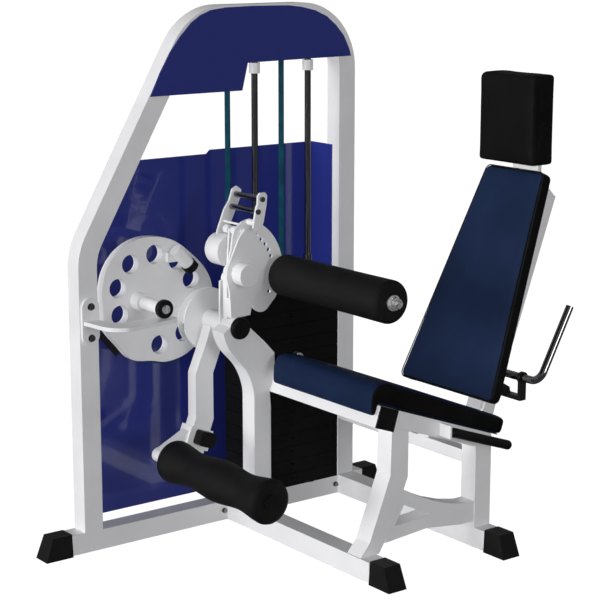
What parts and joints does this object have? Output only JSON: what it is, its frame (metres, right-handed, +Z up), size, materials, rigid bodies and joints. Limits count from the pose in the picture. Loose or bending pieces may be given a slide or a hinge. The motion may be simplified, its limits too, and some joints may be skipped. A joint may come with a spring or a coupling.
{
  "type": "leg extension machine",
  "caption": "Seated leg extension machine: guarded weight tower, pivoting leg lever with foam rollers, cam disc, reclining seat and sliding headrest.",
  "frame": {"origin": "centre of the machine's floor plan, on the floor", "axes": "+Z up; the user sits facing -Y; +X runs from the weight tower to the seat"},
  "size_m": [0.944, 1.6146, 1.613],
  "materials": {
    "white_paint": "satin powder coat",
    "blue_paint": "high gloss",
    "navy_vinyl": "satin",
    "black_vinyl": "satin",
    "black_foam": "matt foam",
    "black_rubber": "matt",
    "dark_chrome": "polished dark",
    "bright_steel": "turned",
    "black_paint": "satin",
    "belt_teal": "smooth",
    "black_plastic": "moulded",
    "stack_black": "painted"
  },
  "bodies": {
    "frame": {"base_tube": "white_paint", "floor_beams": "white_paint", "rubber_feet": "black_rubber", "left_upright": "white_paint", "top_arch": "white_paint", "right_upright": "white_paint", "header_panel": "blue_paint", "rear_shroud": "blue_paint", "guide_rods": "dark_chrome", "pulley_carrier": "white_paint", "resting_plates": "stack_black", "drive_belt": "belt_teal", "cam_shaft": "bright_steel", "outboard_bearing": "black_plastic", "bearing_shelf": "white_paint", "frame_bolts": "dark_chrome", "knee_post": "white_paint", "pivot_shafts": "bright_steel", "end_caps": "black_plastic", "thigh_post": "white_paint", "seat_rails": "white_paint", "centre_rail": "white_paint", "leg_frame": "white_paint", "seat_cushion": "navy_vinyl", "seat_board": "black_plastic", "hand_grips": "black_rubber", "grip_brackets": "white_paint"},
    "lever": {"lever_hub": "white_paint", "lever_dish": "white_paint", "lever_arm": "white_paint"},
    "weight_carriage": {"lifted_plates": "stack_black", "lift_head": "dark_chrome", "stack_belt": "belt_teal"},
    "selector": {"selector_pin": "bright_steel"},
    "front_pulley": {"front_top_pulley": "black_plastic"},
    "rear_pulley": {"rear_top_pulley": "black_plastic"},
    "cam": {"cam_disc": "white_paint", "cam_belt": "belt_teal", "cam_rubbers": "black_rubber"},
    "shin_carrier": {"shin_sleeve": "white_paint", "shin_axle": "white_paint", "clamp_block": "black_plastic", "roller_plug": "black_plastic"},
    "shin_roll": {"shin_roller": "black_foam"},
    "thigh_arm": {"index_sector": "white_paint", "grip_plate": "white_paint", "balance_weight": "white_paint", "cross_pins": "dark_chrome", "roller_axle": "bright_steel"},
    "thigh_roll": {"thigh_roller": "black_foam"},
    "index_plunger": {"plunger": "white_paint"},
    "backrest": {"back_cushion": "navy_vinyl", "back_board": "black_plastic", "back_post": "white_paint", "back_brackets": "white_paint", "handle_bracket": "black_paint"},
    "handle": {"release_handle": "dark_chrome"},
    "headrest": {"head_stem": "white_paint", "head_cushion": "black_vinyl"}
  },
  "joints": [
    {"name": "leg_swing", "type": "hinge", "parent": "frame", "child": "lever", "pos_m": [-0.28, -0.2175, 0.661], "axis": [-1, 0, 0], "range_deg": [0, 55]},
    {"name": "stack_lift", "type": "slide", "parent": "frame", "child": "weight_carriage", "axis": [0, 0, 1], "range_m": [0, 0.08], "deforming": ["stack_belt"]},
    {"name": "selector_pull", "type": "slide", "parent": "weight_carriage", "child": "selector", "axis": [1, 0, 0], "range_m": [0, 0.06]},
    {"name": "front_pulley_turn", "type": "hinge", "parent": "frame", "child": "front_pulley", "pos_m": [-0.339, -0.0915, 1.495], "axis": [1, 0, 0], "range_deg": [0, 102]},
    {"name": "rear_pulley_turn", "type": "hinge", "parent": "frame", "child": "rear_pulley", "pos_m": [-0.339, 0.0215, 1.495], "axis": [1, 0, 0], "range_deg": [0, 102]},
    {"name": "cam_turn", "type": "hinge", "parent": "frame", "child": "cam", "pos_m": [-0.346, -0.4545, 0.743], "axis": [1, 0, 0], "range_deg": [0, 25]},
    {"name": "shin_adjust", "type": "slide", "parent": "lever", "child": "shin_carrier", "axis": [0, -0.3621, -0.9322], "range_m": [0, 0.03]},
    {"name": "shin_spin", "type": "hinge", "parent": "shin_carrier", "child": "shin_roll", "pos_m": [0.019, -0.4205, 0.268], "axis": [1, 0, 0], "continuous": true},
    {"name": "thigh_swing", "type": "hinge", "parent": "frame", "child": "thigh_arm", "pos_m": [-0.181, -0.2135, 0.828], "axis": [1, 0, 0], "range_deg": [-20, 30]},
    {"name": "thigh_spin", "type": "hinge", "parent": "thigh_arm", "child": "thigh_roll", "pos_m": [0.104, -0.0685, 0.811], "axis": [1, 0, 0], "continuous": true},
    {"name": "plunger_push", "type": "slide", "parent": "frame", "child": "index_plunger", "axis": [1, 0, 0], "range_m": [0, 0.009]},
    {"name": "back_recline", "type": "hinge", "parent": "frame", "child": "backrest", "pos_m": [0.096, 0.5195, 0.322], "axis": [-1, 0, 0], "range_deg": [0, 14]},
    {"name": "handle_squeeze", "type": "hinge", "parent": "backrest", "child": "handle", "pos_m": [0.096, 0.6485, 0.44], "axis": [1, 0, 0], "range_deg": [0, 20]},
    {"name": "head_adjust", "type": "slide", "parent": "backrest", "child": "headrest", "axis": [0, 0, 1], "range_m": [0, 0.05]}
  ],
  "couplings": [
    {"joint": "stack_lift", "follows": "leg_swing", "m_per_rad": 0.081},
    {"joint": "front_pulley_turn", "follows": "leg_swing", "ratio": 1.82},
    {"joint": "rear_pulley_turn", "follows": "leg_swing", "ratio": 1.82},
    {"joint": "cam_turn", "follows": "leg_swing", "ratio": 0.45}
  ]
}
